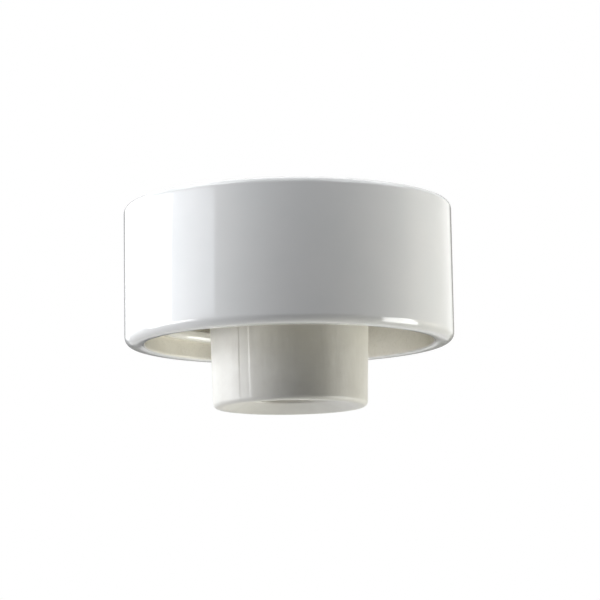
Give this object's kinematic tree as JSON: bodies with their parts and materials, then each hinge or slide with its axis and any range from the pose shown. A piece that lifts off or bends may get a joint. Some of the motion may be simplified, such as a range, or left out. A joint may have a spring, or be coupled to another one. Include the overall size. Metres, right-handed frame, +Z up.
{
  "type": "ceiling lamp holder",
  "caption": "Round glazed porcelain ceiling lamp holder with a screw socket for a lamp in the middle and a threaded pocket for a glass globe around it.",
  "frame": {"origin": "centre of the ceiling face, midway between the two fixing slots", "axes": "+Z points up into the ceiling along the socket's axis, +Y points out of the cable entry, +X joins the two fixing slots"},
  "size_m": [0.1, 0.1, 0.0615],
  "materials": {
    "glazed_porcelain": "white glossy glaze",
    "satin_porcelain": "satin unglazed white porcelain with a fine grain",
    "nickel_plate": "nickel-plated sheet",
    "zinc_steel": "zinc-plated steel",
    "spring_steel": "drawn spring steel",
    "brass": "bare brass",
    "vulcanised_fibre": "red-brown vulcanised fibre",
    "silicone_rubber": "pale matt silicone rubber"
  },
  "bodies": {
    "holder": {"base_body": "glazed_porcelain", "socket_body": "satin_porcelain", "screw_shell": "nickel_plate", "shell_screws": "zinc_steel", "shell_washers": "spring_steel", "shell_nuts": "zinc_steel", "contact_spring": "spring_steel", "contact_cup": "brass", "line_strap": "brass", "neutral_strap": "brass", "strap_rivets": "brass", "clamp_plates": "nickel_plate", "terminal_screws": "brass", "socket_screws": "zinc_steel", "socket_screw_washers": "vulcanised_fibre", "socket_nuts": "zinc_steel", "socket_gasket": "vulcanised_fibre", "globe_gasket": "silicone_rubber", "cable_grommet": "silicone_rubber"},
    "plunger": {"centre_contact": "brass"}
  },
  "joints": [
    {"name": "contact_press", "type": "slide", "parent": "holder", "child": "plunger", "axis": [0, 0, 1], "range_m": [0, 0.002], "stiffness_N_per_m": 800, "springref_m": -0.002, "deforming": ["contact_spring"]}
  ]
}
